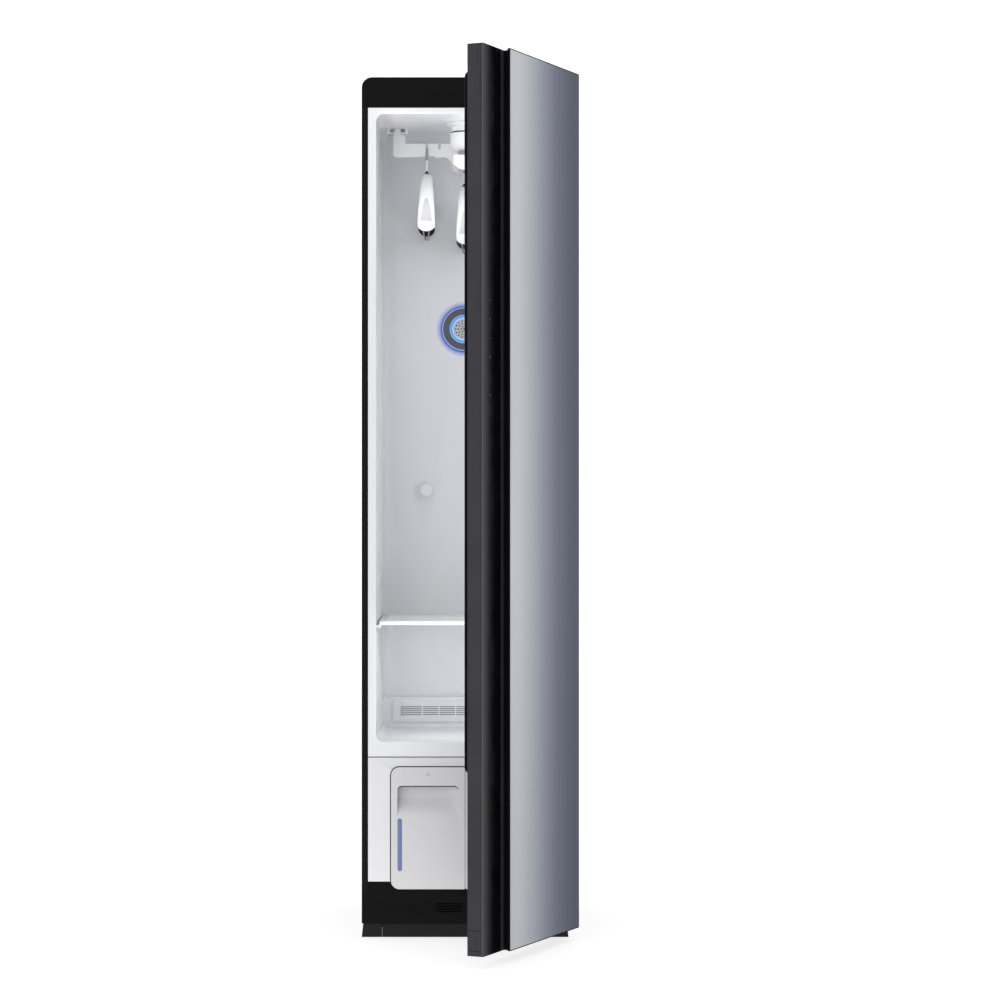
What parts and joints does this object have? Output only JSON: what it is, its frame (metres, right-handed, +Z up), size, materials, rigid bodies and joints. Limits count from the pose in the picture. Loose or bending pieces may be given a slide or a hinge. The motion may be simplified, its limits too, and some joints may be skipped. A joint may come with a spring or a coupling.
{
  "type": "clothes care steam cabinet",
  "caption": "Tall slim floor-standing steam cabinet for clothes with a hinged mirror door, moving hanger bar, shelf, lint filter and pull-out water tanks.",
  "frame": {"origin": "on the floor under the plinth flange, 12 mm behind the carcass front, in the middle of the width", "axes": "+X to the right seen from the front, +Y to the back, +Z up"},
  "size_m": [0.4658, 0.9493, 1.85],
  "materials": {
    "black_steel": "satin black painted sheet",
    "black_trim": "satin black moulding",
    "galvanised_steel": "zinc coated sheet",
    "white_liner": "glossy white liner",
    "white_plastic": "satin white moulding",
    "plinth_grey": "fine grained dark grey",
    "bright_steel": "polished steel",
    "lamp_grey": "satin grey",
    "lamp_blue": "lit blue light guide",
    "plate_grey": "satin light grey",
    "compressor_black": "black enamel",
    "dark_plastic": "dark grey moulding",
    "fin_aluminium": "plain fins",
    "board_green": "coated circuit board",
    "door_grey": "satin dark grey",
    "gasket_rubber": "matt black seal",
    "mirror_glass": "grey mirror glass",
    "strip_glass": "black back-printed glass",
    "shelf_plastic": "milky translucent white",
    "foot_rubber": "black foot",
    "dark_rubber": "soft dark grey",
    "tank_grey": "satin pale grey",
    "tank_blue": "clear bluish vessel",
    "level_blue": "tinted level window"
  },
  "bodies": {
    "carcass": {"side_panel_left": "black_steel", "side_panel_right": "black_steel", "top_cap": "black_trim", "rear_panel": "galvanised_steel", "base_pan": "galvanised_steel", "cavity_liner": "white_liner", "tank_fascia": "white_plastic", "lower_grille": "black_trim", "plinth": "plinth_grey", "foot_cap_left": "plinth_grey", "foot_cap_right": "plinth_grey", "guide_bracket_left": "white_plastic", "guide_bracket_right": "white_plastic", "guide_rod_left": "bright_steel", "guide_rod_right": "bright_steel", "hub_flange": "white_plastic", "drive_motor": "galvanised_steel", "ring_bezel": "lamp_grey", "ring_light": "lamp_blue", "steam_plate": "plate_grey", "peg_left": "white_liner", "peg_right": "white_liner", "hinge_upper": "bright_steel", "hinge_lower": "bright_steel", "compressor": "compressor_black", "blower_housing": "dark_plastic", "evaporator": "fin_aluminium", "condenser": "fin_aluminium", "steam_generator": "galvanised_steel", "water_pump": "dark_plastic", "control_board": "board_green"},
    "door": {"door_frame": "door_grey", "door_inner_panel": "door_grey", "door_gasket": "gasket_rubber", "mirror_panel": "mirror_glass", "mirror_carrier": "black_trim", "display_strip": "strip_glass"},
    "hanger_bar": {"hanger_bar": "white_plastic"},
    "crank": {"crank_hub": "white_plastic"},
    "hanger_left": {"hanger_left_hook": "bright_steel", "hanger_left_body": "white_plastic", "hanger_left_cap_front": "dark_rubber", "hanger_left_cap_rear": "dark_rubber", "hanger_left_trouser_bar": "bright_steel"},
    "hanger_centre": {"hanger_centre_hook": "bright_steel", "hanger_centre_body": "white_plastic", "hanger_centre_cap_front": "dark_rubber", "hanger_centre_cap_rear": "dark_rubber", "hanger_centre_trouser_bar": "bright_steel"},
    "tank_left": {"tank_left_front": "tank_grey", "tank_left_vessel": "tank_blue", "tank_left_window": "level_blue"},
    "tank_right": {"tank_right_front": "tank_grey", "tank_right_vessel": "tank_blue", "tank_right_window": "level_blue"},
    "shelf": {"shelf": "shelf_plastic"},
    "lint_filter": {"lint_filter": "white_plastic"},
    "blower_wheel": {"blower_wheel": "plate_grey"},
    "front_foot_left": {"front_foot_left": "foot_rubber"},
    "front_foot_right": {"front_foot_right": "foot_rubber"}
  },
  "joints": [
    {"name": "door_hinge", "type": "hinge", "parent": "carcass", "child": "door", "pos_m": [0.2075, -0.0472, 0.9], "axis": [0, 0, 1], "range_deg": [-64.1, 55]},
    {"name": "hanger_bar_slide", "type": "slide", "parent": "carcass", "child": "hanger_bar", "axis": [1, 0, 0], "range_m": [-0.0127, 0.0127]},
    {"name": "crank_turn", "type": "hinge", "parent": "carcass", "child": "crank", "pos_m": [0, 0.128, 1.73], "axis": [0, 0, 1], "range_deg": [-45, 45]},
    {"name": "hanger_left_swing", "type": "hinge", "parent": "hanger_bar", "child": "hanger_left", "pos_m": [-0.084, 0.2105, 1.7244], "axis": [0, 1, 0], "range_deg": [-8, 8]},
    {"name": "hanger_centre_swing", "type": "hinge", "parent": "hanger_bar", "child": "hanger_centre", "pos_m": [0, 0.2105, 1.696], "axis": [0, 1, 0], "range_deg": [-8, 8]},
    {"name": "tank_left_slide", "type": "slide", "parent": "carcass", "child": "tank_left", "axis": [0, -1, 0], "range_m": [0, 0.16]},
    {"name": "tank_right_slide", "type": "slide", "parent": "carcass", "child": "tank_right", "axis": [0, -1, 0], "range_m": [0, 0.07]},
    {"name": "shelf_lift", "type": "slide", "parent": "carcass", "child": "shelf", "axis": [0, 0, 1], "range_m": [0, 0.05]},
    {"name": "lint_filter_slide", "type": "slide", "parent": "carcass", "child": "lint_filter", "axis": [0, -1, 0], "range_m": [0, 0.1]},
    {"name": "blower_spin", "type": "hinge", "parent": "carcass", "child": "blower_wheel", "pos_m": [0.085, 0.388, 0.115], "axis": [0, 1, 0], "continuous": true},
    {"name": "front_foot_left_turn", "type": "hinge", "parent": "carcass", "child": "front_foot_left", "pos_m": [-0.196, 0.01, 0.01], "axis": [0, 0, 1], "continuous": true},
    {"name": "front_foot_right_turn", "type": "hinge", "parent": "carcass", "child": "front_foot_right", "pos_m": [0.196, 0.01, 0.01], "axis": [0, 0, 1], "continuous": true}
  ],
  "couplings": [
    {"joint": "crank_turn", "follows": "hanger_bar_slide", "rad_per_m": 61.7}
  ]
}
